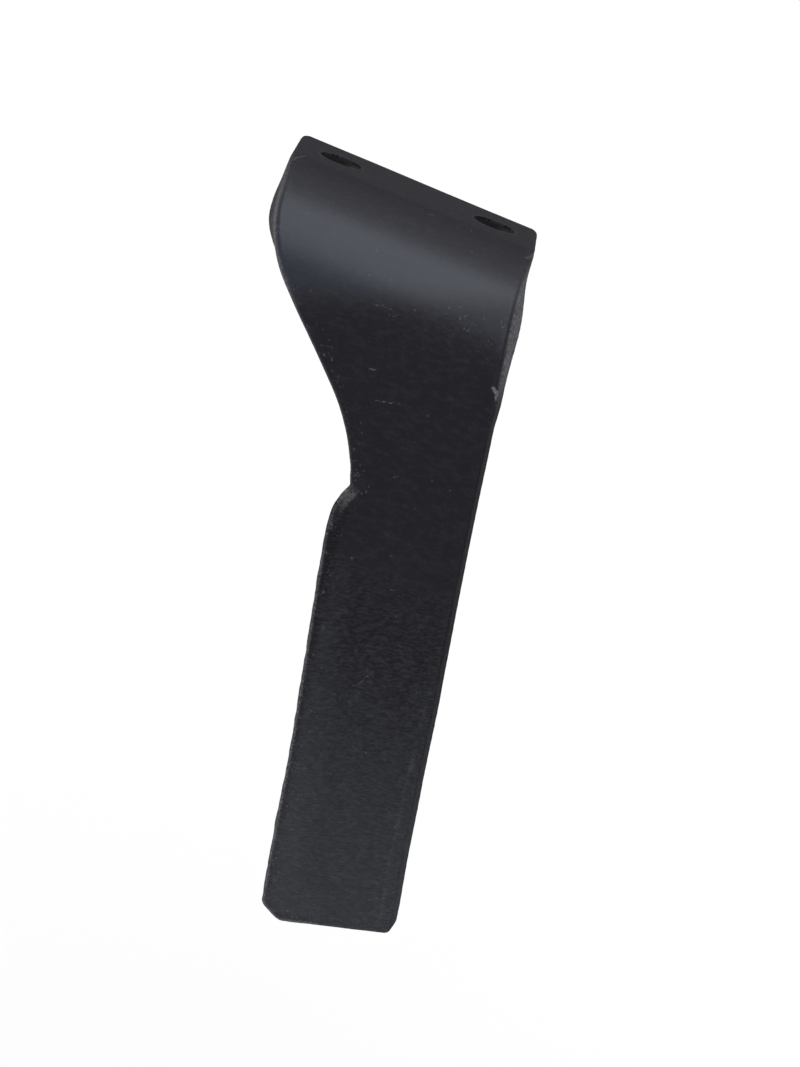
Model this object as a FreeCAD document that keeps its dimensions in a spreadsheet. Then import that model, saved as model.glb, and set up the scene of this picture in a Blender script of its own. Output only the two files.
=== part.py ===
import FreeCAD, Part
import Sketcher
import math
import os

# Power harrow tine: one forged piece, a flange with two bolt holes, a large bend, a neck and a blade.
# Frame: origin at the middle of the bolt line on the flange's upper face, X along the bolt line,
# +Y to the flange's free edge, +Z up; the blade hangs towards -Z. Units are millimetres.

doc = FreeCAD.newDocument("PowerHarrowTine")
sheet = doc.addObject("Spreadsheet::Sheet", "sizes")

DRIVING = [
    ("plate_thickness", 14.0, "thickness of the flange, the bend and the blade"),
    ("bolt_spacing", 65.0, "distance between the two bolt holes"),
    ("bolt_hole", 17.0, "bolt hole diameter, clear of an M16 bolt"),
    ("flange_edge", 26.8, "bolt line to the flange's free edge"),
    ("flange_flat", 45.8, "free edge to the start of the bend"),
    ("bend_radius", 46.0, "outer radius of the bend"),
    ("bend_pull", 1.7, "how far the bend pulls its side faces in at the outer face"),
    ("bend_bulge", 2.2, "how far the bend pushes its side faces out at the inner face"),
    ("trail_lean", 9.7, "lean of the trailing side from the bolt line's normal"),
    ("trail_offset", 46.0, "trailing side at the free edge, from the bolt pattern's centre"),
    ("lead_lean", 11.0, "lean of the flange's leading side"),
    ("lead_offset", 56.4, "leading side at the free edge, from the bolt pattern's centre"),
    ("lead_straight", 33.8, "straight leading side's developed length past the start of the bend"),
    ("shoulder_radius", 60.0, "radius that turns the leading side into the neck"),
    ("neck_lean", 46.3, "steepest lean of the leading side, at the neck"),
    ("neck_radius", 80.0, "radius that turns the neck down into the blade"),
    ("notch_drop", 100.3, "flange's upper face down to the notch"),
    ("notch_side", 26.6, "notch from the bolt pattern's centre"),
    ("ramp_lean", 27.0, "lean of the notch's lower side, outwards"),
    ("cheek_radius", 28.0, "radius between the notch and the cutting edge"),
    ("edge_lean", 11.2, "lean of the cutting edge"),
    ("tip_width", 50.4, "cutting edge's lower end, square across to the trailing side"),
    ("tip_drop", 273.2, "flange's upper face down to the tip's lowest point"),
    ("tip_side", 62.0, "tip's lowest point from the bolt pattern's centre"),
    ("tip_rise", 19.8, "rise of the tip's lower edge towards the trailing side"),
    ("tip_cut", 25.0, "slope of the tip's cut corner"),
    ("cut_radius", 5.0, "rounding between the cutting edge and the cut corner"),
    ("point_radius", 3.0, "rounding at the tip's lowest point"),
    ("corner_radius", 2.0, "rounding at the trailing end of the tip"),
    ("notch_radius", 1.0, "rounding in the notch"),
    ("flange_radius", 3.0, "rounding of the flange's free corners"),
    ("front_rounding", 2.5, "rounding round the outer face"),
    ("back_rounding", 1.5, "rounding round the inner face"),
    ("blank_half", 116.0, "half the width of the blank that the sides are cut from"),
    ("cut_clear", 4.0, "how far the cuts run clear of the blank"),
    ("run_out", 9.0, "how far the bend's side cuts run on into the flange and the blade"),
]
for row, (name, value, note) in enumerate(DRIVING, 1):
    sheet.set(f"A{row}", name)
    sheet.set(f"B{row}", str(value))
    sheet.setAlias(f"B{row}", name)
    sheet.set(f"C{row}", note)

# Formulas of the values above, on the blank laid flat: along is measured from the free edge.
DERIVED = [
    ("bend_start", "=flange_flat - flange_edge"),
    ("bend_front", "=bend_start + bend_radius"),
    ("cut_reach", "=blank_half + cut_clear"),
    ("lead_turn", "=flange_flat + lead_straight"),
    ("arc_along", "=lead_turn - shoulder_radius * sin(lead_lean * 1deg)"),
    ("arc_across", "=lead_turn * tan(lead_lean * 1deg) - lead_offset"
                   " + shoulder_radius * cos(lead_lean * 1deg)"),
    ("neck_along", "=arc_along + shoulder_radius * sin(neck_lean * 1deg)"),
    ("neck_across", "=arc_across - shoulder_radius * cos(neck_lean * 1deg)"),
]


def leading_side(along):
    straight = f"{along} * tan(lead_lean * 1deg) - lead_offset"
    curve = f"arc_across - sqrt(abs(shoulder_radius ^ 2 - ({along} - arc_along) ^ 2))"
    neck = f"neck_across + ({along} - neck_along) * tan(neck_lean * 1deg)"
    return f"({along} < lead_turn ? {straight} : ({along} < neck_along ? {curve} : {neck}))"


# Stations along both sides of the bend: some before it, some round it and some past it.
RUN_STEPS, BEND_STEPS = 3, 10
STATIONS = 2 * RUN_STEPS + BEND_STEPS + 1
for i in range(STATIONS):
    before = max(RUN_STEPS - i, 0)
    past = max(i - RUN_STEPS - BEND_STEPS, 0)
    turned = min(max(i - RUN_STEPS, 0), BEND_STEPS)
    DERIVED += [
        (f"before_{i}", f"=run_out * {before} / {RUN_STEPS}"),
        (f"past_{i}", f"=run_out * {past} / {RUN_STEPS}"),
        (f"turn_{i}", f"=90 * {turned} / {BEND_STEPS}"),
        (f"outer_{i}", f"=flange_flat - before_{i} + past_{i} + bend_radius * turn_{i} * pi / 180"),
        (f"inner_{i}", f"=outer_{i} - plate_thickness"
                       f" * (turn_{i} * pi / 180 - pi / 2 * sin(turn_{i} * 1deg) ^ 2)"),
        (f"pull_{i}", f"=bend_pull * sin(2deg * turn_{i}) ^ 2"),
        (f"bulge_{i}", f"=bend_bulge * sin(2deg * turn_{i}) ^ 2"),
        (f"lead_outer_{i}", f"={leading_side(f'outer_{i}')} + pull_{i}"),
        (f"lead_inner_{i}", f"={leading_side(f'inner_{i}')} - bulge_{i}"),
        (f"trail_outer_{i}", f"=trail_offset + outer_{i} * tan(trail_lean * 1deg) - pull_{i}"),
        (f"trail_inner_{i}", f"=trail_offset + inner_{i} * tan(trail_lean * 1deg) + bulge_{i}"),
    ]
# The cheek's arc is no larger than the notch's lower side has room for, up to the cutting edge.
last = STATIONS - 1
DERIVED += [
    ("width_across", f"=trail_outer_{last} - tip_width / cos(trail_lean * 1deg)"),
    ("cut_run", "=(tip_side - width_across - (tip_drop - bend_radius - run_out) * tan(trail_lean * 1deg))"
                " / (cos(tip_cut * 1deg) - sin(tip_cut * 1deg) * tan(trail_lean * 1deg))"),
    ("cut_across", "=tip_side - cut_run * cos(tip_cut * 1deg)"),
    ("cut_up", "=cut_run * sin(tip_cut * 1deg) - tip_drop"),
    ("ramp_room", "=(notch_side - cut_across - (cut_up + notch_drop) * tan(edge_lean * 1deg))"
                  " / (sin(ramp_lean * 1deg) + cos(ramp_lean * 1deg) * tan(edge_lean * 1deg))"),
    ("cheek_room", "=(ramp_room - notch_radius / 2) / tan((ramp_lean + edge_lean) * 0.5deg)"),
    ("cheek", "=cheek_radius < cheek_room ? cheek_radius : cheek_room"),
]
for row, (name, formula) in enumerate(DERIVED, len(DRIVING) + 2):
    sheet.set(f"A{row}", name)
    sheet.set(f"B{row}", formula)
    sheet.setAlias(f"B{row}", name)
doc.recompute()


def size(name):
    return float(sheet.get(name))


body = doc.addObject("PartDesign::Body", "tine")
body.Label = "tine"


def new_sketch(name, role):
    sketch = body.newObject("Sketcher::SketchObject", name)
    sketch.AttachmentSupport = (next(f for f in body.Origin.OriginFeatures if f.Role == role), "")
    sketch.MapMode = "FlatFace"
    return sketch


def vector(point):
    return FreeCAD.Vector(point[0], point[1], 0)


def add_line(sketch, first, second):
    return sketch.addGeometry(Part.LineSegment(vector(first), vector(second)), False)


def add_arc(sketch, centre, first, second):
    """Arc that runs anticlockwise from the first point to the second."""
    angles = [math.atan2(p[1] - centre[1], p[0] - centre[0]) for p in (first, second)]
    circle = Part.Circle(vector(centre), FreeCAD.Vector(0, 0, 1), math.dist(centre, first))
    return sketch.addGeometry(Part.ArcOfCircle(circle, angles[0], angles[1]), False)


def bind(sketch, name, formula, *constraint):
    """Adds a named dimension whose value is a formula of the sheet's values."""
    index = sketch.addConstraint(Sketcher.Constraint(*constraint))
    sketch.renameConstraint(index, name)
    sketch.setExpression(f"Constraints.{name}", formula)


def place(sketch, name, geometry, end, across, up):
    """Fixes one end of a line by its distances from the sketch's origin."""
    point = sketch.getPoint(geometry, end)
    bind(sketch, name + "_across", across, "DistanceX", -1, 1, geometry, end, point.x)
    bind(sketch, name + "_up", up, "DistanceY", -1, 1, geometry, end, point.y)


def join(sketch, kind, first, first_end, second, second_end):
    sketch.addConstraint(Sketcher.Constraint(kind, first, first_end, second, second_end))


def add_polygon(sketch, corners):
    """Closed outline of straight lines; each corner is (across, up) as formulas of the sheet."""
    points = [[FreeCAD.Units.Quantity(sheet.evalExpression(c)).Value for c in corner] for corner in corners]
    lines = [add_line(sketch, p, q) for p, q in zip(points, points[1:] + points[:1])]
    for line, after in zip(lines, lines[1:] + lines[:1]):
        join(sketch, "Coincident", line, 2, after, 1)
    for line, (across, up) in zip(lines, corners):
        place(sketch, f"corner_{line}", line, 1, across, up)


# Flange, bend and blade as one section, padded to the blank's width.
profile = new_sketch("section", "YZ_Plane")
t, edge, start = size("plate_thickness"), size("flange_edge"), size("bend_start")
radius, front = size("bend_radius"), size("bend_front")
low = -size("tip_drop") - size("cut_clear")
top = add_line(profile, (edge, 0), (-start, 0))
outer_arc = add_arc(profile, (-start, -radius), (-start, 0), (-front, -radius))
face = add_line(profile, (-front, -radius), (-front, low))
foot = add_line(profile, (-front, low), (t - front, low))
back = add_line(profile, (t - front, low), (t - front, -radius))
inner_arc = add_arc(profile, (-start, -radius), (-start, -t), (t - front, -radius))
under = add_line(profile, (-start, -t), (edge, -t))
end_face = add_line(profile, (edge, -t), (edge, 0))
join(profile, "Tangent", top, 2, outer_arc, 1)
join(profile, "Tangent", outer_arc, 2, face, 1)
join(profile, "Coincident", face, 2, foot, 1)
join(profile, "Coincident", foot, 2, back, 1)
join(profile, "Tangent", back, 2, inner_arc, 2)
join(profile, "Tangent", inner_arc, 1, under, 1)
join(profile, "Coincident", under, 2, end_face, 1)
join(profile, "Coincident", end_face, 2, top, 1)
join(profile, "Coincident", outer_arc, 3, inner_arc, 3)
for line in (top, foot, under):
    profile.addConstraint(Sketcher.Constraint("Horizontal", line))
for line in (face, end_face, back):
    profile.addConstraint(Sketcher.Constraint("Vertical", line))
profile.addConstraint(Sketcher.Constraint("PointOnObject", top, 1, -1))
bind(profile, "free_edge", "sizes.flange_edge", "DistanceX", -1, 1, top, 1, edge)
bind(profile, "flat", "sizes.flange_flat", "DistanceX", top, 2, top, 1, edge + start)
bind(profile, "outer_radius", "sizes.bend_radius", "Radius", outer_arc, radius)
bind(profile, "thickness", "sizes.plate_thickness", "DistanceX", foot, 1, foot, 2, t)
bind(profile, "low_end", "-sizes.tip_drop - sizes.cut_clear", "DistanceY", -1, 1, foot, 1, low)

pad = body.newObject("PartDesign::Pad", "blank")
pad.Profile = profile
pad.Midplane = True
pad.setExpression("Length", "2 * sizes.blank_half")
doc.recompute()

# Straight sides of the flat flange.
sides = new_sketch("flange_sides", "XY_Plane")
add_polygon(sides, [
    ("-sizes.cut_reach", "sizes.flange_edge"),
    ("-sizes.cut_reach", "sizes.run_out - sizes.bend_start"),
    ("sizes.lead_outer_0", "sizes.run_out - sizes.bend_start"),
    ("-sizes.lead_offset", "sizes.flange_edge"),
])
add_polygon(sides, [
    ("sizes.cut_reach", "sizes.flange_edge"),
    ("sizes.trail_offset", "sizes.flange_edge"),
    ("sizes.trail_outer_0", "sizes.run_out - sizes.bend_start"),
    ("sizes.cut_reach", "sizes.run_out - sizes.bend_start"),
])
trim = body.newObject("PartDesign::Pocket", "flange_trim")
trim.Profile = sides
trim.Type = "ThroughAll"
doc.recompute()


def bend_cut(name, side, wall):
    """Cuts one side of the bend through its stations, in planes square to the outer face."""
    sections = []
    for i in range(STATIONS):
        section = new_sketch(f"{name}_{i}", "XZ_Plane")
        section.AttachmentOffset = FreeCAD.Placement(
            FreeCAD.Vector(0, -radius - size(f"past_{i}"), start - size(f"before_{i}")),
            FreeCAD.Rotation(FreeCAD.Vector(1, 0, 0), size(f"turn_{i}")))
        section.setExpression("AttachmentOffset.Base.y", f"-sizes.bend_radius - sizes.past_{i}")
        section.setExpression("AttachmentOffset.Base.z", f"sizes.bend_start - sizes.before_{i}")
        section.setExpression("AttachmentOffset.Rotation.Angle", f"sizes.turn_{i} * 1deg")
        outer, inner = f"sizes.{wall}_outer_{i}", f"sizes.{wall}_inner_{i}"
        run_on = f"({outer} - {inner}) * sizes.cut_clear / sizes.plate_thickness"
        outer_end = "sizes.bend_radius + sizes.cut_clear"
        inner_end = "sizes.bend_radius - sizes.plate_thickness - sizes.cut_clear"
        far = f"{side} * sizes.cut_reach"
        add_polygon(section, [
            (f"{outer} + {run_on}", outer_end),
            (f"{inner} - {run_on}", inner_end),
            (far, inner_end),
            (far, outer_end),
        ])
        sections.append(section)
    cut = body.newObject("PartDesign::SubtractiveLoft", name)
    cut.Profile = sections[0]
    cut.Sections = sections[1:]
    doc.recompute()


bend_cut("bend_lead_side", -1, "lead")
bend_cut("bend_trail_side", 1, "trail")


def heading(angle):
    return (math.cos(math.radians(angle)), math.sin(math.radians(angle)))


def moved(point, angle, distance):
    step = heading(angle)
    return (point[0] + distance * step[0], point[1] + distance * step[1])


def meet(first, first_angle, second, second_angle):
    """Where two straight lines meet, each given by a point and a heading."""
    a, b = heading(first_angle), heading(second_angle)
    across, up = second[0] - first[0], second[1] - first[1]
    reach = (across * b[1] - up * b[0]) / (a[0] * b[1] - a[1] * b[0])
    return moved(first, first_angle, reach)


# Outline of neck, notch, blade and tip, cut square through the hanging plate below the bend.
blade = new_sketch("blade_outline", "XZ_Plane")
neck_angle = size("neck_lean") - 90
ramp_angle = -90 - size("ramp_lean")
edge_angle = size("edge_lean") - 90
trail_angle = size("trail_lean") - 90
ledge = -radius - size("run_out")
neck_start = (size(f"lead_outer_{last}"), ledge)
trail_start = (size(f"trail_outer_{last}"), ledge)
notch = (size("notch_side"), -size("notch_drop"))
tip = (size("tip_side"), -size("tip_drop"))
# The neck's arc touches the neck's line and ends in the notch.
side_on = moved(neck_start, neck_angle - 90, size("neck_radius"))
gap = (notch[0] - side_on[0], notch[1] - side_on[1])
ahead = gap[0] * heading(neck_angle)[0] + gap[1] * heading(neck_angle)[1]
off = gap[0] * heading(neck_angle)[1] - gap[1] * heading(neck_angle)[0]
slide = ahead - math.sqrt(size("neck_radius") ** 2 - off ** 2)
neck_end = moved(neck_start, neck_angle, slide)
neck_centre = moved(neck_end, neck_angle - 90, size("neck_radius"))
# The cutting edge ends where the cut corner stands off the trailing side by the tip's width.
width_line = moved(trail_start, trail_angle - 90, size("tip_width"))
cut_line = meet(tip, 180 - size("tip_cut"), width_line, trail_angle)
# The cheek's arc touches the notch's lower side and the cutting edge.
corner = meet(notch, ramp_angle, cut_line, edge_angle)
bend = math.radians(edge_angle - ramp_angle) / 2
setback = size("cheek") * math.tan(bend)
cheek_start = moved(corner, ramp_angle + 180, setback)
cheek_end = moved(corner, edge_angle, setback)
cheek_centre = moved(cheek_start, ramp_angle + 90, size("cheek"))
tip_end = meet(tip, size("tip_rise"), trail_start, trail_angle)
reach = size("cut_reach")

neck_line = add_line(blade, neck_start, neck_end)
neck_arc = add_arc(blade, neck_centre, notch, neck_end)
ramp = add_line(blade, notch, cheek_start)
cheek = add_arc(blade, cheek_centre, cheek_start, cheek_end)
cutting_edge = add_line(blade, cheek_end, cut_line)
cut_corner = add_line(blade, cut_line, tip)
tip_line = add_line(blade, tip, tip_end)
trail_line = add_line(blade, tip_end, trail_start)
frame_top = add_line(blade, trail_start, (reach, ledge))
frame_right = add_line(blade, (reach, ledge), (reach, low - reach))
frame_low = add_line(blade, (reach, low - reach), (-reach, low - reach))
frame_left = add_line(blade, (-reach, low - reach), (-reach, ledge))
frame_lead = add_line(blade, (-reach, ledge), neck_start)
join(blade, "Tangent", neck_line, 2, neck_arc, 2)
join(blade, "Coincident", neck_arc, 1, ramp, 1)
join(blade, "Tangent", ramp, 2, cheek, 1)
join(blade, "Tangent", cheek, 2, cutting_edge, 1)
straight_chain = [cutting_edge, cut_corner, tip_line, trail_line, frame_top, frame_right, frame_low,
                  frame_left, frame_lead, neck_line]
for line, after in zip(straight_chain, straight_chain[1:]):
    join(blade, "Coincident", line, 2, after, 1)
for line in (frame_top, frame_low, frame_lead):
    blade.addConstraint(Sketcher.Constraint("Horizontal", line))
for line in (frame_right, frame_left):
    blade.addConstraint(Sketcher.Constraint("Vertical", line))
place(blade, "neck_start", neck_line, 1, f"sizes.lead_outer_{last}", "-sizes.bend_radius - sizes.run_out")
place(blade, "trail_start", frame_top, 1, f"sizes.trail_outer_{last}", "-sizes.bend_radius - sizes.run_out")
place(blade, "notch", ramp, 1, "sizes.notch_side", "-sizes.notch_drop")
place(blade, "tip", tip_line, 1, "sizes.tip_side", "-sizes.tip_drop")
place(blade, "frame", frame_low, 1, "sizes.cut_reach", "-sizes.tip_drop - sizes.cut_clear - sizes.cut_reach")
bind(blade, "frame_width", "2 * sizes.cut_reach", "DistanceX", frame_low, 2, frame_low, 1, 2 * reach)
bind(blade, "neck_radius", "sizes.neck_radius", "Radius", neck_arc, size("neck_radius"))
bind(blade, "cheek_radius", "sizes.cheek", "Radius", cheek, size("cheek"))
for name, line, angle, formula in (
        ("neck_angle", neck_line, neck_angle, "sizes.neck_lean - 90"),
        ("ramp_angle", ramp, ramp_angle, "-90 - sizes.ramp_lean"),
        ("edge_angle", cutting_edge, edge_angle, "sizes.edge_lean - 90"),
        ("cut_angle", cut_corner, -size("tip_cut"), "-sizes.tip_cut"),
        ("tip_angle", tip_line, size("tip_rise"), "sizes.tip_rise"),
        ("trail_angle", trail_line, 90 + size("trail_lean"), "90 + sizes.trail_lean")):
    bind(blade, name, f"({formula}) * 1deg", "Angle", line, math.radians(angle))
bind(blade, "tip_width", "sizes.tip_width", "Distance", cutting_edge, 2, trail_line, size("tip_width"))
outline = body.newObject("PartDesign::Pocket", "blade_trim")
outline.Profile = blade
outline.Type = "ThroughAll"
outline.Midplane = True
doc.recompute()

# Bolt holes through the flange.
bolts = new_sketch("bolt_pattern", "XY_Plane")
for name, sign in (("lead", -1), ("trail", 1)):
    across = sign * size("bolt_spacing") / 2
    shape = Part.Circle(vector((across, 0)), FreeCAD.Vector(0, 0, 1), size("bolt_hole") / 2)
    circle = bolts.addGeometry(shape, False)
    bind(bolts, name + "_bolt", f"{sign} * sizes.bolt_spacing / 2", "DistanceX", -1, 1, circle, 3, across)
    bolts.addConstraint(Sketcher.Constraint("PointOnObject", circle, 3, -1))
    bind(bolts, name + "_bore", "sizes.bolt_hole", "Diameter", circle, size("bolt_hole"))
doc.recompute()
holes = body.newObject("PartDesign::Hole", "bolt_holes")
holes.Profile = bolts
doc.recompute()
holes.Threaded = False
holes.DepthType = "ThroughAll"
holes.HoleCutType = "None"
holes.setExpression("Diameter", "sizes.bolt_hole")
doc.recompute()


def depth_of(point):
    """Depth of a point under the outer face of flange, bend and blade."""
    if point.y > -start:
        return -point.z
    if point.z < -radius:
        return point.y + front
    return radius - math.hypot(point.y + start, point.z + radius)


def corner_edges(shape, spots):
    """Straight edges that cross the plate from the given points of the outer face."""
    found = []
    for number, line in enumerate(shape.Edges, 1):
        ends = [v.Point for v in line.Vertexes]
        if len(ends) == 2 and abs(ends[0].distanceToPoint(ends[1]) - t) < 0.01:
            if any(p.distanceToPoint(FreeCAD.Vector(*spot)) < 0.01 for p in ends for spot in spots):
                found.append(f"Edge{number}")
    return found


def rim_edges(shape, depth):
    """Edges that run round the rim at one depth, without holes and lines across the plate."""
    found = []
    for number, line in enumerate(shape.Edges, 1):
        first, final = line.ParameterRange
        points = [line.valueAt(first + (final - first) * f) for f in (0.0, 0.3, 0.5, 0.8, 1.0)]
        hole = len(line.Vertexes) == 1
        across = line.Length > size("bolt_spacing") and abs(points[0].y - points[-1].y) < 0.01 \
            and abs(points[0].z - points[-1].z) < 0.01 and points[0].y < 0
        if not hole and not across and all(abs(depth_of(p) - depth) < 0.01 for p in points):
            found.append(f"Edge{number}")
    return found


def add_rounding(name, edges, formula):
    under = body.Tip
    rounding = body.newObject("PartDesign::Fillet", name)
    rounding.Base = (under, edges)
    rounding.setExpression("Radius", formula)
    doc.recompute()


def face_point(point):
    return (point[0], -front, point[1])


flange_ends = [(-size("lead_offset"), edge, 0), (size("trail_offset"), edge, 0)]
add_rounding("cut_rounding", corner_edges(body.Shape, [face_point(cut_line)]), "sizes.cut_radius")
add_rounding("point_rounding", corner_edges(body.Shape, [face_point(tip)]), "sizes.point_radius")
add_rounding("corner_rounding", corner_edges(body.Shape, [face_point(tip_end)]), "sizes.corner_radius")
add_rounding("notch_rounding", corner_edges(body.Shape, [face_point(notch)]), "sizes.notch_radius")
add_rounding("flange_rounding", corner_edges(body.Shape, flange_ends), "sizes.flange_radius")
add_rounding("front_rim", rim_edges(body.Shape, 0), "sizes.front_rounding")
add_rounding("back_rim", rim_edges(body.Shape, t), "sizes.back_rounding")

problems = [o.Name for o in doc.Objects if "Invalid" in o.State or "Error" in o.State]
if problems or body.Shape.isNull() or not body.Shape.isValid():
    raise RuntimeError(f"the tine did not build: {problems}")
os.makedirs("parts", exist_ok=True)
body.Shape.exportStep("parts/tine.step")
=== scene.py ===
import math

import bpy
import numpy as np
from mathutils import Matrix, Vector, noise
from mathutils.bvhtree import BVHTree
from mathutils.kdtree import KDTree


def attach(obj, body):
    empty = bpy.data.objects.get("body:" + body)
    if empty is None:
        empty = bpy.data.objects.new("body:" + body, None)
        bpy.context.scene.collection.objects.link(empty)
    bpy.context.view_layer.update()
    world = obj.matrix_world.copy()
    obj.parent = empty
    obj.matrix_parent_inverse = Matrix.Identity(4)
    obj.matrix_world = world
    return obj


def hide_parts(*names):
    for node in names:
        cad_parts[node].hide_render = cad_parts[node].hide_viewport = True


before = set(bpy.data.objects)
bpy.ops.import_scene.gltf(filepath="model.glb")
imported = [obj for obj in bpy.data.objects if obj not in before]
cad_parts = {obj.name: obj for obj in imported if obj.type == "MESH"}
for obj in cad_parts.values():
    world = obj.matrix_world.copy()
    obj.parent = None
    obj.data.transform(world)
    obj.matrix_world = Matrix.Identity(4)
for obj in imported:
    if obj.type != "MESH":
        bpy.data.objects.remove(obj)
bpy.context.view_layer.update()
MM = 0.001

# The tine's own sizes in millimetres, as in the part's source.
THICK = 14.0
BEND_RADIUS = 46.0
BEND_START = 19.0
FACE = BEND_START + BEND_RADIUS
INNER_RADIUS = BEND_RADIUS - THICK
ARC = BEND_RADIUS * math.pi / 2
HOLE_SPACING = 65.0
HOLE_RADIUS = 8.5

# Mesh grain, and how near a point has to lie to a true surface to be put on it or kept there.
VOXEL = 0.82
SNAP = 0.12
BORE_SNAP = 0.58
SKIN = 0.05

# Depths between which the plate's narrow faces are taken as its rim.
RIM_ZONE = (4.0, 10.0)

# The blade's middle line, which tells its leading half from its trailing half: drop and place across.
MIDDLE_DROP = (0, 100, 273)
MIDDLE_X = (-5, 45, 78)
HALF_WIDTH = 28

# Bow of the blade's two edges: drop under the mounting face, and how far the edge stands out there.
LEAD_BOW = ((120, -0.2), (148, -0.2), (171, -0.47), (197, -0.65), (218, -0.35), (234, 0.26), (255, 0.7))
TRAIL_BOW = ((50, 0.0), (62, -0.8), (110, -0.87), (143, -0.4), (167, 0.13), (200, 0.15), (232, 0.5),
             (250, 1.1))

# Flats struck into the front edge: width, slope in degrees, and the soft run at a flat's border.
SHOULDER_WIDTH = 5.2
SHOULDER_SLOPE = 36.0
TRAIL_CREASE = ((140, 0.8), (157, 2.2), (200, 4.3), (250, 4.6))
TRAIL_MARGIN = 0.5
TRAIL_SLOPE = 9.0
FLAT_BLEND = 0.35

# The rough band behind the leading edge: drop and width, depth, and how its strength falls with the drop.
BAND_WIDTH = ((110, 9.0), (128, 8.0), (150, 4.4), (250, 3.6))
BAND_DEPTH = 0.16
BAND_RAGGED = 2.2
BAND_PITTED = 0.8
BAND_FADE = ((124, 1.0), (146, 0.62))

# Zones for ramp(): nothing at the first number and all at the second.
# Drop under the mounting face:
BOW_FROM = (47, 60)
SHOULDER_FROM = (99, 104)
SHOULDER_TO = (123, 113)
BAND_FROM = (104, 111)
HAMMER_FROM = (112, 150)
ROUGH_EDGE_FROM = (50, 110)
TRAIL_FROM = (140, 170)
TRAIL_TO = (262, 252)
SPECKS_FROM = (34, 48)
FACET_TO = (114, 106)
LEAD_RIM_FROM = (106, 116)
NECK_FROM = (40, 56)
NECK_TO = (112, 98)
# Distance from the rim:
BAND_OFF_RIM = (0.4, 1.6)
ROUGH_EDGE = (3.0, 0.3)
SPECKED = (10, 1)
BESIDE_FROM = (2, 5)
BESIDE_TO = (18, 8)
LEAD_RIM = (2.1, 1.1)
SIDE_FACE = (3.0, 1.0)
SIDE_LINE = (1.4, 0.6)
BEND_RIM = (1.8, 0.8)
NECK_RIM = (1.5, 0.6)
# Depth under the outer face:
FRONT = (7, 1)
OUTER_SKIN = (2.6, 1.0)
SIDE_FROM = (0.5, 1.6)
SIDE_TO = (THICK - 0.3, THICK - 1.2)
LINE_DEPTH = (THICK - 2.2, THICK - 0.9)
POLISH_DEPTH = (3, 0.6)
BORE_LIT_DEPTH = (0.6, 2.0)
# Distance from a bolt hole's middle, and the same along X:
CLEAR_OF_HOLES = (9.5, 13)
BORE_WALL = (9.0, 8.7)
BORE_LIT_SIDE = (-1, 7)
# Height and place along Y about the bend, and where the flange's own finish ends:
BEND_HEIGHT = (-BEND_RADIUS - 8, -BEND_RADIUS + 10)
BEND_Y = (-BEND_START + 4, -BEND_START - 18)
FLANGE_Y = (-BEND_START - 34, -BEND_START + 2)
OUTER_Y = -20

# Unevenness of forging: how far it lifts the surface, and its grain along X, Y and Z.
SLOW_LIFT = 0.10
SLOW_GRAIN = (26, 26, 22)
HAMMER_LIFT = 0.05
HAMMER_GRAIN = (7, 7, 3.2)
EDGE_LIFT = 0.22
EDGE_GRAIN = (5, 5, 4)
SIDE_LIFT = 0.10
SIDE_GRAIN = (6, 6, 6)
RAGGED_GRAIN = (5, 5, 3)
PITTED_GRAIN = (2.2, 9, 1.6)
STREAK_GRAIN = (5, 5, 9)
SEED_STEP = 17.3

# Rubbed zone of the bend, which is glossier and carries a painted blue sheen, in degrees round it: it ends
# sooner towards +X, by so much a millimetre.
POLISH_FROM = (20, 48)
POLISH_END = 96
POLISH_END_X = -16
POLISH_END_FALL = 0.50
POLISH_FADE = 22

# How strongly the painted highlight lies on edges and faces that catch the light, from 0 to 1.
FACET_LIGHT = 0.42
LEAD_RIM_LIGHT = 0.88
STREAK_LIGHT = 0.15
STREAK_WIDTH = 0.6
STREAK_GAPS = (-0.6, 0.3)
SIDE_LINE_LIGHT = 0.6
LEAD_SIDE_LIGHT = 0.24
TRAIL_SIDE_LIGHT = 0.55
BEND_RIM_LIGHT = 0.40
NECK_RIM_LIGHT = 0.30
WORN_TURN = (0.02, 0.09)


# Mesh
def dense_copy(source, name, voxel):
    """An evenly meshed copy of a CAD node."""
    work = bpy.data.objects.new(name + "_work", source.data.copy())
    bpy.context.collection.objects.link(work)
    remesh = work.modifiers.new("even", "REMESH")
    remesh.mode = "VOXEL"
    remesh.voxel_size = voxel * MM
    bpy.context.view_layer.update()
    depsgraph = bpy.context.evaluated_depsgraph_get()
    mesh = bpy.data.meshes.new_from_object(work.evaluated_get(depsgraph))
    bpy.data.objects.remove(work)
    piece = bpy.data.objects.new(name, mesh)
    bpy.context.collection.objects.link(piece)
    return piece


def read_points(mesh):
    flat = np.zeros(len(mesh.vertices) * 3, np.float32)
    mesh.vertices.foreach_get("co", flat)
    return flat.reshape(-1, 3).astype(float) / MM


def write_points(mesh, points):
    mesh.vertices.foreach_set("co", (points * MM).astype(np.float32).ravel())
    mesh.update()


def read_normals(mesh):
    flat = np.zeros(len(mesh.vertices) * 3, np.float32)
    mesh.vertex_normals.foreach_get("vector", flat)
    return flat.reshape(-1, 3).astype(float)


def edge_pairs(mesh):
    flat = np.zeros(len(mesh.edges) * 2, np.int32)
    mesh.edges.foreach_get("vertices", flat)
    return flat.reshape(-1, 2)


def neighbour_mean(values, pairs):
    count = np.bincount(pairs.ravel(), minlength=len(values))
    total = np.zeros_like(values)
    np.add.at(total, pairs[:, 0], values[pairs[:, 1]])
    np.add.at(total, pairs[:, 1], values[pairs[:, 0]])
    return total / (count[:, None] if values.ndim > 1 else count)


def smooth(values, pairs, weight, rounds):
    """Moves each value towards the mean of its neighbours, by its weight."""
    for _ in range(rounds):
        values = values + weight * (neighbour_mean(values, pairs) - values)
    return values


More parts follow.
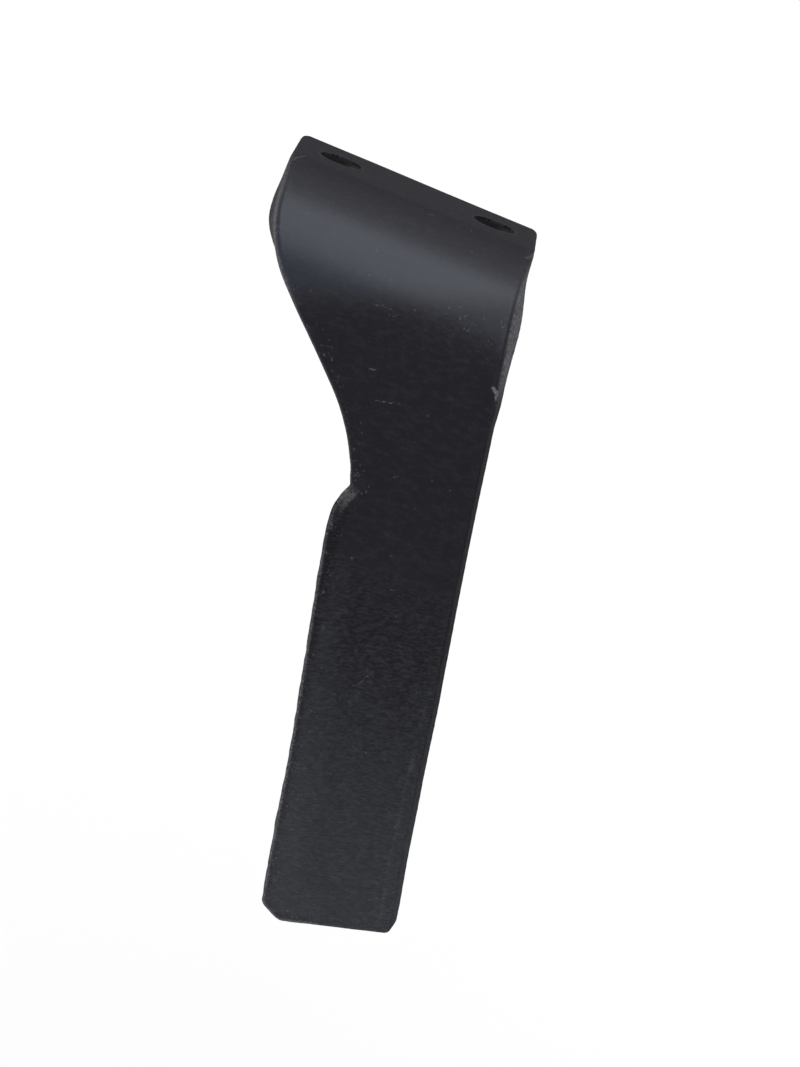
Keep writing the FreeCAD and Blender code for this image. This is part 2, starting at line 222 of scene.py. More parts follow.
def ramp(values, start, end):
    """0 at start and 1 at end, with a soft run between them."""
    t = np.clip((values - start) / (end - start), 0, 1)
    return t * t * (3 - 2 * t)


def read_off(values, table):
    """The second column of a table, at places in its first column, with straight runs between them."""
    return np.interp(values, [row[0] for row in table], [row[1] for row in table])


def plate_place(points):
    """Developed length from the bend's start, depth under the outer face, and the inward direction."""
    y, z = points[:, 1] + BEND_START, points[:, 2] + BEND_RADIUS
    angle = np.arctan2(-y, z)
    flange, blade = y > 0, z < 0
    length = np.where(flange, -y, np.where(blade, ARC - z, angle * BEND_RADIUS))
    radial = BEND_RADIUS - np.hypot(y, z)
    depth = np.where(flange, -points[:, 2], np.where(blade, points[:, 1] + FACE, radial))
    turn = np.where(flange, 0.0, np.where(blade, math.pi / 2, angle))
    inward = np.stack([np.zeros(len(points)), np.sin(turn), -np.cos(turn)], 1)
    return length, depth, inward


def snap_bend(points):
    """Puts points of the bend's two skins on their true cylinders."""
    y, z = points[:, 1] + BEND_START, points[:, 2] + BEND_RADIUS
    radius = np.hypot(y, z)
    in_bend = (y < 0) & (z > 0)
    for true in (BEND_RADIUS, INNER_RADIUS):
        near = in_bend & (np.abs(radius - true) < SNAP)
        scale = true / radius[near]
        points[near, 1] = y[near] * scale - BEND_START
        points[near, 2] = z[near] * scale - BEND_RADIUS
    return points


def hole_middle(x):
    """Place along X of the bolt hole on the same side."""
    return np.where(x > 0, 1.0, -1.0) * HOLE_SPACING / 2


def snap_bores(points):
    """Puts points close to the bolt holes' edges on the true circles."""
    middle = hole_middle(points[:, 0])
    off, y = points[:, 0] - middle, points[:, 1]
    radius = np.hypot(off, y)
    for level in (0.0, -THICK):
        near = np.hypot(radius - HOLE_RADIUS, points[:, 2] - level) < BORE_SNAP
        scale = HOLE_RADIUS / radius[near]
        points[near, 0] = middle[near] + off[near] * scale
        points[near, 1] = y[near] * scale
        points[near, 2] = level
    return points


def grain(points, size, seed):
    """Smooth noise from -1 to 1 at each point; size is its grain along X, Y and Z in millimetres."""
    scaled = points / np.array(size) + seed * SEED_STEP
    return np.array([noise.noise(Vector(p)) for p in scaled])


def rim_distance(points, length, depth):
    """Distance along the plate from each point to the rim."""
    on_rim = np.nonzero((depth > RIM_ZONE[0]) & (depth < RIM_ZONE[1]))[0]
    tree = KDTree(len(on_rim))
    for i in on_rim:
        tree.insert((points[i, 0], length[i], 0), i)
    tree.balance()
    return np.array([tree.find((x, s, 0))[2] for x, s in zip(points[:, 0], length)])


def strike_flat(depth, near, width, slope):
    """Depth of a flat struck into the front edge, which falls from its width out to the rim."""
    floor_depth = (width - near) * math.tan(math.radians(slope))
    blended = np.logaddexp(0, (floor_depth - depth) / FLAT_BLEND)
    return FLAT_BLEND * blended - FLAT_BLEND * math.log(2)


def add_mask(mesh, name, values):
    mask = mesh.attributes.new(name, "FLOAT", "POINT")
    mask.data.foreach_set("value", np.clip(values, 0, 1).astype(np.float32))


cad_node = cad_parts["tine"]
tine = dense_copy(cad_node, "tine_forging", VOXEL)
mesh = tine.data
surface = BVHTree.FromPolygons([v.co for v in cad_node.data.vertices],
                               [p.vertices for p in cad_node.data.polygons])
points = read_points(mesh)
points = np.array([surface.find_nearest(Vector(p * MM))[0] for p in points], float) / MM
points = snap_bores(snap_bend(points))
pairs = edge_pairs(mesh)
depth = plate_place(points)[1]
skin = (np.abs(depth) < SKIN) | (np.abs(depth - THICK) < SKIN)
points = smooth(points, pairs, np.where(skin, 0.0, 0.5)[:, None], 3)
length, depth, inward = plate_place(points)
near = rim_distance(points, length, depth)

# Views of the points, so they follow each change below. The drop is -z.
x, y, z = points[:, 0], points[:, 1], points[:, 2]
middle = np.interp(-z, MIDDLE_DROP, MIDDLE_X)
leading, trailing = x < middle, x >= middle
front = ramp(depth, *FRONT)
trail_flat = trailing * ramp(-z, *TRAIL_FROM) * ramp(-z, *TRAIL_TO)

# Bow of the edges, shared out across the plate.
share = np.clip((x - middle + HALF_WIDTH) / (2 * HALF_WIDTH), 0, 1)
bow = share * read_off(-z, TRAIL_BOW) - (1 - share) * read_off(-z, LEAD_BOW)
points[:, 0] += ramp(-z, *BOW_FROM) * bow

# Flats on the front edge, at the notch's shoulder and towards the tip, and the rough leading band.
shoulder = leading * ramp(-z, *SHOULDER_FROM) * ramp(-z, *SHOULDER_TO)
sunk = shoulder * strike_flat(depth, near, SHOULDER_WIDTH, SHOULDER_SLOPE)
crease = read_off(-z, TRAIL_CREASE)
sunk += trail_flat * strike_flat(depth, near, crease + TRAIL_MARGIN, TRAIL_SLOPE)
ragged = near + BAND_RAGGED * grain(points, RAGGED_GRAIN, 6)
band_share = ragged / read_off(-z, BAND_WIDTH)
band = leading * ramp(-z, *BAND_FROM) * ramp(band_share, 1.0, 0.5) * front
band *= read_off(-z, BAND_FADE)
pitted = 1 + BAND_PITTED * grain(points, PITTED_GRAIN, 3)
sunk += BAND_DEPTH * band * ramp(near, *BAND_OFF_RIM) * pitted
points += inward * (sunk * front)[:, None]
write_points(mesh, points)

# Hammering and scale all over, stronger on the blade's lower half and its leading edge.
normals = read_normals(mesh)
hammered = ramp(-z, *HAMMER_FROM)
rough_edge = leading * ramp(-z, *ROUGH_EDGE_FROM) * ramp(near, *ROUGH_EDGE)
narrow_faces = (depth > 2) & (depth < THICK - 2)
lift = SLOW_LIFT * grain(points, SLOW_GRAIN, 1)
lift += HAMMER_LIFT * hammered * grain(points, HAMMER_GRAIN, 2)
lift += EDGE_LIFT * rough_edge * grain(points, EDGE_GRAIN, 4)
lift += np.where(narrow_faces, SIDE_LIFT, 0.0) * grain(points, SIDE_GRAIN, 5)
off_hole = x - hole_middle(x)
from_hole = np.hypot(off_hole, y)
lift *= np.where(z > -THICK - 2, ramp(from_hole, *CLEAR_OF_HOLES), 1.0)
points += normals * lift[:, None]
write_points(mesh, points)
mesh.polygons.foreach_set("use_smooth", np.ones(len(mesh.polygons), bool))

# Masks for the paint: worn convex edges, the hammered part, the leading band and what lies beside it.
normals = read_normals(mesh)
turn_away = np.linalg.norm(normals - neighbour_mean(normals, pairs), axis=1)
add_mask(mesh, "worn", smooth(ramp(turn_away, *WORN_TURN), pairs, 0.5, 2))
add_mask(mesh, "hammered", hammered)
add_mask(mesh, "band", smooth(band, pairs, 0.5, 2))
add_mask(mesh, "lead_edge", leading * ramp(-z, *SPECKS_FROM) * ramp(near, *SPECKED) * front)
beside = leading * hammered * ramp(near, *BESIDE_FROM) * ramp(near, *BESIDE_TO) * front
add_mask(mesh, "beside_band", beside)

# Masks for whole parts: the outer skin, narrow faces, flange, the bend's rubbed zone, which also places a
# painted blue sheen, and the bolt holes, with painted light on one side of their walls.
side_faces = ramp(depth, *SIDE_FROM) * ramp(depth, *SIDE_TO) * ramp(near, *SIDE_FACE)
add_mask(mesh, "outer", ramp(depth, *OUTER_SKIN) * (y < OUTER_Y))
add_mask(mesh, "sides", side_faces)
add_mask(mesh, "flange", ramp(y, *FLANGE_Y))
turned = np.degrees(length / BEND_RADIUS)
polish_end = POLISH_END - POLISH_END_FALL * (x - POLISH_END_X)
polish_and_sheen = ramp(turned, *POLISH_FROM) * ramp(turned - polish_end, 0, -POLISH_FADE)
add_mask(mesh, "polish_and_sheen", polish_and_sheen * ramp(depth, *POLISH_DEPTH))
in_bore = ramp(from_hole, *BORE_WALL) * (z > -THICK - 1)
add_mask(mesh, "bore", in_bore)
# Painted light on the +X side of each bolt hole's wall.
add_mask(mesh, "bore_lit", in_bore * ramp(off_hole, *BORE_LIT_SIDE) * ramp(depth, *BORE_LIT_DEPTH))

# One painted highlight mask for all that catches the light: the shoulder's flat, the rims and the bend's
# narrow faces.
in_bend = ramp(z, *BEND_HEIGHT) * ramp(y, *BEND_Y)
facet = FACET_LIGHT * shoulder * ramp(-z, *FACET_TO) * front
facet *= ramp(near, SHOULDER_WIDTH, SHOULDER_WIDTH - 1.2)
lead_rim = LEAD_RIM_LIGHT * leading * ramp(-z, *LEAD_RIM_FROM) * ramp(near, *LEAD_RIM) * front
streak = STREAK_LIGHT * ramp(grain(points, STREAK_GRAIN, 7), *STREAK_GAPS) * trail_flat
streak *= np.exp(-((near - crease) / STREAK_WIDTH) ** 2) * front
side_line = SIDE_LINE_LIGHT * in_bend * trailing * ramp(depth, *LINE_DEPTH) * ramp(near, *SIDE_LINE)
side_light = np.where(leading, LEAD_SIDE_LIGHT, TRAIL_SIDE_LIGHT) * in_bend * side_faces
bend_rim = BEND_RIM_LIGHT * in_bend * leading * ramp(near, *BEND_RIM) * front
neck_rim = NECK_RIM_LIGHT * leading * ramp(-z, *NECK_FROM) * ramp(-z, *NECK_TO)
neck_rim *= ramp(near, *NECK_RIM) * front
add_mask(mesh, "painted_highlight", facet + lead_rim + streak + side_line + side_light + bend_rim + neck_rim)

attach(tine, "root")
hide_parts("tine")

# Colours of the paint, of what shows through it or lies on it, and of painted light: the painted highlight
# on edges and faces, the bend's painted blue sheen and painted light on the bolt holes' walls.
BLACK = (0.0046, 0.0034, 0.0046, 1)
DUST_AND_LIT_GREY = (0.046, 0.048, 0.055, 1)
BARE = (0.20, 0.20, 0.215, 1)
PAINTED_HIGHLIGHT_GREY = (0.16, 0.16, 0.172, 1)
PAINTED_BLUE_SHEEN = (0.008, 0.015, 0.038, 1)
BORE = (0.022, 0.020, 0.020, 1)
# Painted light for the lit side of the bolt holes' walls.
BORE_LIT = (0.080, 0.072, 0.072, 1)

# Gloss that is the same all over, and the coat of the bend's rubbed zone.
SPECULAR_LEVEL = 0.19
SPECULAR_TINT = (0.77, 0.83, 1.0, 1)
COAT_WEIGHT = 0.30
COAT_ROUGHNESS = 0.37

# Ripples and strokes on the blade rise towards +X by this angle in degrees.
RIPPLE_RISE = 21.0

# Heights, and for the specks a place across, between which a finish comes in: none at the first number.
BLADE_ROUGH_Z = (-44.0, -66.0)
BEND_DUST_Z = (-20.0, -43.0)
LOWER_Z = (-125.0, -262.0)
SPECKS_LOW_Z = (-44.0, -34.0)
SPECKS_HIGH_Z = (-18.0, -26.0)
SPECKS_X = (20.0, 44.0)

# Scratches and nicks on the outer face: (x, z) of both ends, half width, strength.
SCRATCHES = (
    ((11.0, -33.4), (18.2, -32.4), 0.30, 0.45),
    ((16.9, -35.6), (21.3, -33.8), 0.28, 0.35),
    ((24.9, -66.3), (33.6, -63.8), 0.32, 0.55),
    ((18.2, -56.2), (20.6, -55.2), 0.40, 0.45),
    ((55.6, -171.7), (58.1, -168.6), 0.28, 0.6),
    ((58.1, -168.6), (60.4, -163.5), 0.26, 0.8),
    ((26.9, -96.2), (29.3, -94.6), 0.35, 0.4),
    ((25.2, -117.0), (25.9, -118.4), 0.75, 0.9),
    ((32.0, -142.3), (32.1, -142.5), 0.55, 0.9),
    ((40.8, -192.3), (40.9, -192.5), 0.42, 0.7),
    ((59.9, -207.3), (60.0, -207.5), 0.42, 0.7),
    ((61.9, -202.5), (62.6, -202.4), 0.38, 0.5),
    ((47.4, -229.1), (47.5, -229.3), 0.45, 0.6),
    ((90.7, -216.5), (90.8, -216.7), 0.45, 0.8),
    ((93.6, -246.4), (95.2, -246.1), 0.42, 0.6),
    ((53.0, -1.2), (54.6, -1.4), 0.6, 0.5),
    ((-43.4, -1.3), (-42.0, -0.3), 0.5, 0.5),
)

# The nick in the trailing edge under the bend, in the same form.
NICK = (
    ((63.5, -44.5), (65.9, -45.6), 0.75, 0.75),
    ((64.3, -45.1), (66.0, -46.6), 0.80, 0.85),
    ((65.2, -45.4), (66.0, -48.4), 0.65, 0.70),
    ((65.7, -42.0), (65.9, -43.2), 0.50, 0.45),
)


# Material
class Paint:
    """Short words for building one node material."""

    def __init__(self, name):
        self.material = bpy.data.materials.new(name)
        self.material.use_nodes = True
        self.nodes = self.material.node_tree.nodes
        self.links = self.material.node_tree.links
        self.shader = self.nodes["Principled BSDF"]

    def put(self, target, value):
        if isinstance(value, bpy.types.NodeSocket):
            self.links.new(value, target)
        elif value is not None:
            target.default_value = value

    def math(self, operation, first, second=None, third=None, clamp=False):
        made = self.nodes.new("ShaderNodeMath")
        made.operation = operation
        made.use_clamp = clamp
        for socket, value in zip(made.inputs, (first, second, third)):
            self.put(socket, value)
        return made.outputs[0]

    def times(self, first, second, clamp=False):
        return self.math("MULTIPLY", first, second, clamp=clamp)

    def add(self, value, *terms):
        """Adds each mask, times its amount, to a value."""
        for mask, amount in terms:
            value = self.math("MULTIPLY_ADD", mask, amount, value)
        return value

    def vector_math(self, operation, first, second):
        made = self.nodes.new("ShaderNodeVectorMath")
        made.operation = operation
        self.put(made.inputs[0], first)
        self.put(made.inputs[1], second)
        return made.outputs["Vector"]

    def ramp(self, value, start, end):
        made = self.nodes.new("ShaderNodeMapRange")
        made.interpolation_type = "SMOOTHSTEP"
        self.put(made.inputs["Value"], value)
        made.inputs["From Min"].default_value = start
        made.inputs["From Max"].default_value = end
        return made.outputs["Result"]

    def between(self, value, low, high):
        """Maps 0..1 to low..high."""
        return self.math("MULTIPLY_ADD", value, high - low, low)

    def mask(self, name):
        made = self.nodes.new("ShaderNodeAttribute")
        made.attribute_name = name
        return made.outputs["Fac"]

    def stretch(self, vector, scale, rise=0.0):
        """Scales a place along axes that rise towards +X by an angle in degrees."""
        made = self.nodes.new("ShaderNodeMapping")
        made.vector_type = "TEXTURE"
        self.put(made.inputs["Vector"], vector)
        made.inputs["Scale"].default_value = [1 / v for v in scale]
        made.inputs["Rotation"].default_value = (0, -math.radians(rise), 0)
        return made.outputs["Vector"]

    def noise(self, vector, scale, detail=3.0, roughness=0.55, output="Fac"):
        made = self.nodes.new("ShaderNodeTexNoise")
        self.put(made.inputs["Vector"], vector)
        made.inputs["Scale"].default_value = scale
        made.inputs["Detail"].default_value = detail
        made.inputs["Roughness"].default_value = roughness
        return made.outputs[output]

    def shake(self, vector, scale, reach):
        """Moves a place about by smooth noise, so that marks drawn there come out uneven."""
        value = self.noise(vector, scale, 2.0, output="Color")
        value = self.vector_math("SUBTRACT", value, (0.5, 0.5, 0.5))
        value = self.vector_math("MULTIPLY", value, (reach, reach, reach))
        return self.vector_math("ADD", value, vector)

    def mix(self, amount, first, second):
        made = self.nodes.new("ShaderNodeMix")
        made.data_type = "RGBA"
        self.put(made.inputs[0], amount)
        self.put(made.inputs[6], first)
        self.put(made.inputs[7], second)
        return made.outputs[2]


def scratch_group():
    """Mask of one thin scratch from A to B, seen square to the face, in millimetres."""
    group = bpy.data.node_groups.new("scratch", "ShaderNodeTree")
    for name in ("Place", "From", "To"):
        group.interface.new_socket(name, in_out="INPUT", socket_type="NodeSocketVector")
    group.interface.new_socket("Width", in_out="INPUT", socket_type="NodeSocketFloat")
    group.interface.new_socket("Mask", in_out="OUTPUT", socket_type="NodeSocketFloat")
    nodes, links = group.nodes, group.links
    given, result = nodes.new("NodeGroupInput"), nodes.new("NodeGroupOutput")

    def step(operation, *values):
        made = nodes.new("ShaderNodeVectorMath")
        made.operation = operation
        for socket, value in zip([s for s in made.inputs if s.enabled], values):
            links.new(value, socket)
        return made.outputs["Value"] if operation in ("DOT_PRODUCT", "LENGTH") else made.outputs["Vector"]

    def number(operation, first, second, clamp=False):
        made = nodes.new("ShaderNodeMath")
        made.operation = operation
        made.use_clamp = clamp
        links.new(first, made.inputs[0])
        links.new(second, made.inputs[1])
        return made.outputs[0]

    run = step("SUBTRACT", given.outputs["To"], given.outputs["From"])
    off = step("SUBTRACT", given.outputs["Place"], given.outputs["From"])
    along = number("DIVIDE", step("DOT_PRODUCT", off, run), step("DOT_PRODUCT", run, run), True)
    scaled = nodes.new("ShaderNodeVectorMath")
    scaled.operation = "SCALE"
    links.new(run, scaled.inputs[0])
    links.new(along, scaled.inputs["Scale"])
    gap = step("LENGTH", step("SUBTRACT", off, scaled.outputs["Vector"]))
    share = number("DIVIDE", gap, given.outputs["Width"])
    flip = nodes.new("ShaderNodeMath")
    flip.operation = "SUBTRACT"
    flip.use_clamp = True
    flip.inputs[0].default_value = 1.0
    links.new(share, flip.inputs[1])
    links.new(flip.outputs[0], result.inputs["Mask"])
    return group


def light_specks(paint, place, axes, outer):
    """Small light specks, dense by the leading edge and under the right part of the bend."""
    cells = paint.nodes.new("ShaderNodeTexVoronoi")
    paint.put(cells.inputs["Vector"], paint.shake(place, 0.7, 4.0))
    cells.inputs["Scale"].default_value = 0.62
    spread = paint.nodes.new("ShaderNodeSeparateColor")
    paint.put(spread.inputs[0], cells.outputs["Color"])
    dot = paint.ramp(cells.outputs["Distance"], 0.34, 0.06)
    under_bend = paint.times(paint.ramp(axes.outputs["Z"], *SPECKS_LOW_Z),
                             paint.ramp(axes.outputs["Z"], *SPECKS_HIGH_Z))
    under_bend = paint.times(under_bend, paint.ramp(axes.outputs["X"], *SPECKS_X))
    density = paint.math("MULTIPLY_ADD", paint.mask("lead_edge"), 0.72, 0.016)
    density = paint.add(density, (under_bend, 0.22))
    chosen = paint.math("LESS_THAN", spread.outputs[0], density)
    speck = paint.times(paint.times(dot, chosen), outer)
    return paint.times(speck, paint.between(spread.outputs[1], 0.03, 0.42))


def drawn_marks(paint, place, axes, outer):
    """The listed scratches and the nick, drawn and broken up by noise."""
    group = scratch_group()
    flat_place = paint.nodes.new("ShaderNodeCombineXYZ")
    paint.put(flat_place.inputs["X"], axes.outputs["X"])
    paint.put(flat_place.inputs["Z"], axes.outputs["Z"])
    flat_place = flat_place.outputs[0]

    def draw(table, where):
        drawn = None
        for (x0, z0), (x1, z1), width, strength in table:
            mark = paint.nodes.new("ShaderNodeGroup")
            mark.node_tree = group
            paint.put(mark.inputs["Place"], where)
            mark.inputs["From"].default_value = (x0, 0, z0)
            mark.inputs["To"].default_value = (x1, 0, z1)
            mark.inputs["Width"].default_value = width
            one = paint.times(mark.outputs["Mask"], strength)
            drawn = one if drawn is None else paint.math("MAXIMUM", drawn, one)
        return drawn

    broken = paint.noise(place, 1.1, 3.0)
    scratches = draw(SCRATCHES, paint.shake(flat_place, 0.6, 2.2))
    scratches = paint.times(scratches, paint.ramp(broken, 0.34, 0.62))
    nick = draw(NICK, paint.shake(flat_place, 0.9, 1.0))
    nick = paint.times(nick, paint.ramp(broken, 0.20, 0.55))
    return paint.times(paint.math("MAXIMUM", scratches, nick), outer, clamp=True)


def painted_steel():
    paint = Paint("satin_black_paint")
    shader = paint.shader
    place = paint.nodes.new("ShaderNodeTexCoord").outputs["Object"]
    place = paint.stretch(place, (1 / MM, 1 / MM, 1 / MM))
    axes = paint.nodes.new("ShaderNodeSeparateXYZ")
    paint.put(axes.inputs[0], place)
    height = axes.outputs["Z"]
    worn, hammered, band = paint.mask("worn"), paint.mask("hammered"), paint.mask("band")
    outer, sides, flange = paint.mask("outer"), paint.mask("sides"), paint.mask("flange")
    painted_highlight, bore, polish_and_sheen = paint.mask("painted_highlight"), paint.mask("bore"), paint.mask("polish_and_sheen")

    # Slow changes of tone, streaks along the grain, and the fine tooth of the paint.
    cloud = paint.noise(place, 0.03, 3.0)
    mottle = paint.noise(paint.stretch(place, (0.30, 0.30, 0.55)), 1.0, 5.0, 0.68)
    tooth = paint.noise(place, 2.2, 2.0)
    loose = paint.shake(place, 0.22, 2.6)
    brushed = paint.noise(paint.stretch(loose, (0.12, 0.9, 0.9), RIPPLE_RISE), 1.0, 4.0, 0.7)
    ripple = paint.noise(paint.stretch(loose, (0.42, 0.42, 1.25), RIPPLE_RISE), 1.0, 3.0, 0.60)
    strokes = paint.noise(paint.stretch(loose, (0.36, 0.36, 0.95), RIPPLE_RISE), 1.2, 3.0, 0.7)
    speck = light_specks(paint, place, axes, outer)
    marks = drawn_marks(paint, place, axes, outer)

    # Dust and painted light: the blade grows lighter towards the tip, partly as dust and partly as painted
    # light; painted light on the raised parts of ripples and strokes and painted shade in the strokes'
    # hollows; little dust at the neck, more where the paint is rubbed.
    rubbed = paint.times(worn, paint.ramp(paint.noise(place, 0.5, 3.0), 0.35, 0.75))
    lower = paint.ramp(height, *LOWER_Z)
    # Painted light on the ripples' raised parts.
    lit_ripples = paint.times(paint.ramp(ripple, 0.36, 0.68), hammered)
    lit_ripples = paint.times(lit_ripples, paint.between(lower, 0.36, 0.26))
    # Painted shade and painted light on the strokes of the leading band.
    dark_strokes = paint.times(paint.ramp(strokes, 0.51, 0.43), band)
    lit_strokes = paint.times(paint.ramp(strokes, 0.53, 0.62), band)
    dust_and_painted_light = paint.times(paint.between(lower, -0.11, 0.51), hammered)
    dust_and_painted_light = paint.math("ADD", paint.between(paint.ramp(height, *BEND_DUST_Z), 0.10, 0.03), dust_and_painted_light)
    dust_and_painted_light = paint.math("ADD", dust_and_painted_light, lit_ripples)
    dust_and_painted_light = paint.add(dust_and_painted_light,
                     (paint.ramp(mottle, 0.42, 0.72), 0.14),
                     (paint.ramp(brushed, 0.50, 0.78), 0.13),
                     (rubbed, 0.55),
                     (paint.mask("beside_band"), 0.13))
    dust_and_painted_light = paint.math("MULTIPLY_ADD", dark_strokes, -0.46, dust_and_painted_light, clamp=True)
    dust_and_painted_light = paint.add(dust_and_painted_light, (lit_strokes, 0.28))

    # Colour: paint, dust with painted light and shade on ripples and strokes, the bend's painted blue
    # sheen, painted highlight on edges that catch the light, specks, marks, bolt holes and painted light on
    # their walls.
    patchy = paint.between(paint.ramp(paint.noise(place, 0.9, 3.0), 0.34, 0.66), 0.35, 1.30)
    patchy = paint.times(patchy, paint.between(dark_strokes, 1.0, 0.50))
    tone = paint.mix(dust_and_painted_light, BLACK, DUST_AND_LIT_GREY)
    # Painted blue sheen on the bend's rubbed zone, standing in for the highlight's blue reflection.
    tone = paint.mix(paint.times(paint.math("POWER", polish_and_sheen, 3.0), 0.28), tone, PAINTED_BLUE_SHEEN)
    # Painted highlight on the edges and faces that catch the light.
    tone = paint.mix(paint.times(painted_highlight, patchy, clamp=True), tone, PAINTED_HIGHLIGHT_GREY)
    tone = paint.mix(paint.math("MAXIMUM", speck, marks), tone, BARE)
    tone = paint.mix(paint.times(bore, 0.8), tone, BORE)
    # Painted light on the lit side of the bolt holes' walls.
    tone = paint.mix(paint.times(paint.mask("bore_lit"), 0.85), tone, BORE_LIT)
    paint.put(shader.inputs["Base Color"], tone)

    # Gloss: the blade and the narrow faces are rougher, the flange and the bolt holes matt.
    rough = paint.between(cloud, 0.19, 0.25)
    rough = paint.add(rough, (mottle, 0.10), (brushed, 0.10), (hammered, 0.05), (rubbed, -0.05),
                      (paint.ramp(height, *BLADE_ROUGH_Z), 0.18), (sides, 0.50))
    rough = paint.math("MULTIPLY_ADD", paint.math("MAXIMUM", flange, bore), 0.70, rough, clamp=True)
    paint.put(shader.inputs["Roughness"], rough)
    shader.inputs["Specular IOR Level"].default_value = SPECULAR_LEVEL
    shader.inputs["Specular Tint"].default_value = SPECULAR_TINT
    paint.put(shader.inputs["Coat Weight"], paint.times(polish_and_sheen, COAT_WEIGHT))
    shader.inputs["Coat Roughness"].default_value = COAT_ROUGHNESS

    # Relief in millimetres.
    relief = paint.times(tooth, 0.014)
    relief = paint.add(relief,
                       (mottle, 0.045),
                       (paint.times(brushed, cloud), 0.04),
                       (paint.times(ripple, hammered), 1.9),
                       (paint.times(paint.math("SUBTRACT", strokes, 0.5), band), 3.6),
                       (marks, -0.12),
                       (speck, 0.06))
    bump = paint.nodes.new("ShaderNodeBump")
    bump.inputs["Distance"].default_value = MM
    paint.put(bump.inputs["Height"], relief)
    paint.put(shader.inputs["Normal"], bump.outputs["Normal"])
    return paint.material


mesh.materials.clear()
mesh.materials.append(painted_steel())

# Floor: a wide pale plane that keeps the tine's soft shadow and shows nearly white.
FLOOR_Z = -0.42
FLOOR_REACH = 30.0
FLOOR_GLOW = 0.8
FLOOR_COLOUR = (0.92, 0.92, 0.92, 1)
WHITE = (1, 1, 1, 1)


def seen_ray(nodes, links):
    """1 for rays that show the background: straight, in gloss or through glass."""
    rays = nodes.new("ShaderNodeLightPath")
    seen = rays.outputs["Is Camera Ray"]
    for name in ("Is Glossy Ray", "Is Transmission Ray"):
        either = nodes.new("ShaderNodeMath")
        either.operation = "MAXIMUM"
        links.new(seen, either.inputs[0])
        links.new(rays.outputs[name], either.inputs[1])
        seen = either.outputs[0]
    return seen


def floor_material():
    material = bpy.data.materials.new("floor_white")
    material.use_nodes = True
    nodes, links = material.node_tree.nodes, material.node_tree.links
    diffuse = nodes["Principled BSDF"]
    diffuse.inputs["Base Color"].default_value = FLOOR_COLOUR
    diffuse.inputs["Roughness"].default_value = 1.0
    diffuse.inputs["Specular IOR Level"].default_value = 0.0
    white = nodes.new("ShaderNodeEmission")
    white.inputs["Color"].default_value = WHITE
    white.inputs["Strength"].default_value = 1.0
    share = nodes.new("ShaderNodeMath")
    share.operation = "MULTIPLY"
    share.inputs[1].default_value = FLOOR_GLOW
    links.new(seen_ray(nodes, links), share.inputs[0])
    blend = nodes.new("ShaderNodeMixShader")
    links.new(share.outputs[0], blend.inputs[0])
    links.new(diffuse.outputs[0], blend.inputs[1])
    links.new(white.outputs[0], blend.inputs[2])
    links.new(blend.outputs[0], nodes["Material Output"].inputs["Surface"])
    return material


floor_mesh = bpy.data.meshes.new("floor")
corners = [(sx * FLOOR_REACH, sy * FLOOR_REACH, FLOOR_Z) for sx, sy in ((-1, -1), (1, -1), (1, 1), (-1, 1))]
floor_mesh.from_pydata(corners, [], [(0, 1, 2, 3)])
floor = bpy.data.objects.new("floor", floor_mesh)
bpy.context.collection.objects.link(floor)
floor_mesh.materials.append(floor_material())

# World: a room that grows lighter overhead, with a white background.
WORLD_LOW = 0.12
WORLD_HIGH = 0.70
WORLD_RISE = (0.1, 1.0)
world = bpy.data.worlds.new("studio")
bpy.context.scene.world = world
world.use_nodes = True
sky, sky_links = world.node_tree.nodes, world.node_tree.links
sky_axes = sky.new("ShaderNodeSeparateXYZ")
sky_links.new(sky.new("ShaderNodeTexCoord").outputs["Generated"], sky_axes.inputs[0])
sky_level = sky.new("ShaderNodeMapRange")
sky_level.interpolation_type = "SMOOTHSTEP"
sky_links.new(sky_axes.outputs["Z"], sky_level.inputs["Value"])
sky_level.inputs["From Min"].default_value = WORLD_RISE[0]
sky_level.inputs["From Max"].default_value = WORLD_RISE[1]
sky_level.inputs["To Min"].default_value = WORLD_LOW
sky_level.inputs["To Max"].default_value = WORLD_HIGH
sky["Background"].inputs["Color"].default_value = WHITE
shown = sky.new("ShaderNodeMath")
shown.operation = "MAXIMUM"
sky_links.new(sky_level.outputs["Result"], shown.inputs[0])
sky_links.new(seen_ray(sky, sky_links), shown.inputs[1])
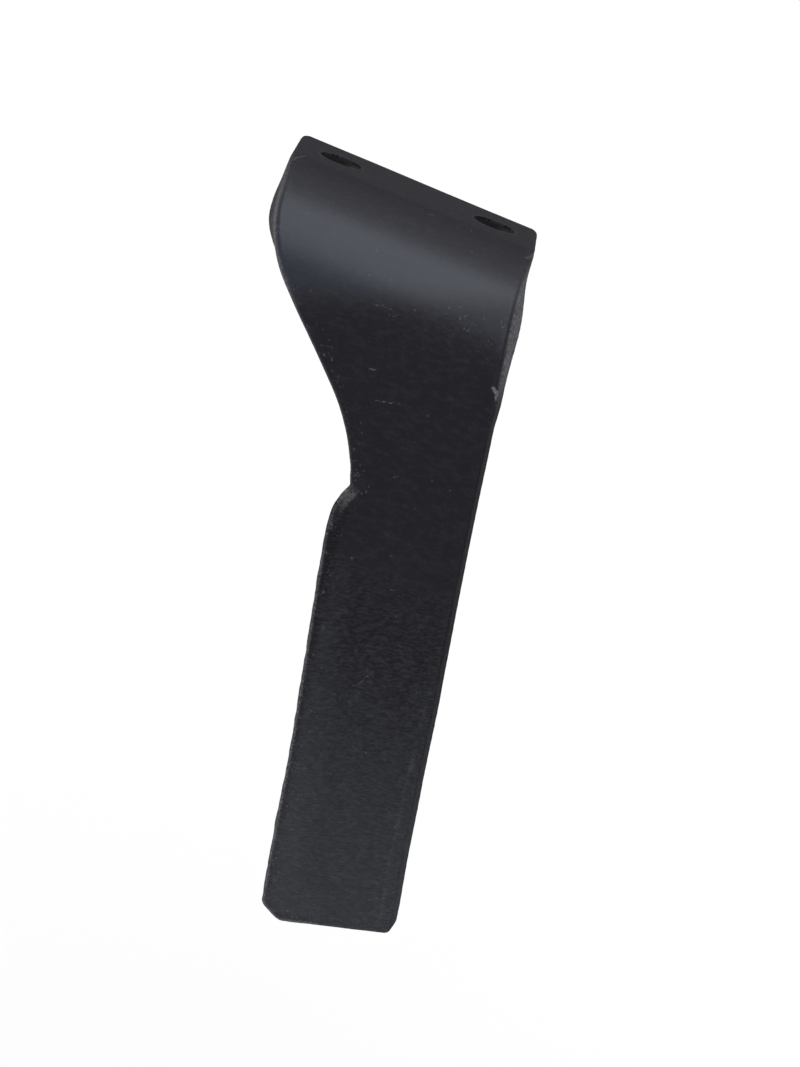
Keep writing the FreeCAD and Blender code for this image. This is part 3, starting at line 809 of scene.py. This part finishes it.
sky_links.new(shown.outputs[0], sky["Background"].inputs["Strength"])

# Key: a very wide soft sun; azimuth is counted from -Y towards +X, and angles are in degrees.
KEY_AZIMUTH = 8
KEY_ELEVATION = 64
KEY_STRENGTH = 2.1
KEY_ANGLE = 64

# The photograph's camera, fitted to the outline and the two bolt holes.
CAMERA_AZIMUTH = 8.0
CAMERA_ELEVATION = 16.18
CAMERA_ROLL = 21.33
CAMERA_DISTANCE = 1.1139
CAMERA_AIM = Vector((0.04201, 0, -0.12834))
CAMERA_CLIP = (0.05, 200)
FOCAL_PIXELS = 2812.3
IMAGE_HEIGHT = 1067
SENSOR = 36.0


def from_middle(azimuth, elevation):
    """Direction from the tine towards a place in the room."""
    a, e = math.radians(azimuth), math.radians(elevation)
    return Vector((math.sin(a) * math.cos(e), -math.cos(a) * math.cos(e), math.sin(e)))


lamp = bpy.data.lights.new("key", "SUN")
lamp.energy = KEY_STRENGTH
lamp.angle = math.radians(KEY_ANGLE)
key = bpy.data.objects.new("key", lamp)
key.rotation_euler = from_middle(KEY_AZIMUTH, KEY_ELEVATION).to_track_quat("Z", "Y").to_euler()
bpy.context.collection.objects.link(key)

azimuth, roll = math.radians(CAMERA_AZIMUTH), math.radians(CAMERA_ROLL)
back = from_middle(CAMERA_AZIMUTH, CAMERA_ELEVATION)
level = Vector((math.cos(azimuth), math.sin(azimuth), 0))
upright = back.cross(level)
right = math.cos(roll) * level + math.sin(roll) * upright
up = -math.sin(roll) * level + math.cos(roll) * upright
camera_data = bpy.data.cameras.new("photo_camera")
camera_data.sensor_width = SENSOR
camera_data.lens = FOCAL_PIXELS / IMAGE_HEIGHT * SENSOR
camera_data.clip_start, camera_data.clip_end = CAMERA_CLIP
camera = bpy.data.objects.new("photo_camera", camera_data)
bpy.context.collection.objects.link(camera)
placing = Matrix((right, up, back)).transposed().to_4x4()
placing.translation = CAMERA_AIM + back * CAMERA_DISTANCE
camera.matrix_world = placing
bpy.context.scene.camera = camera

bpy.context.scene.view_settings.view_transform = "Standard"
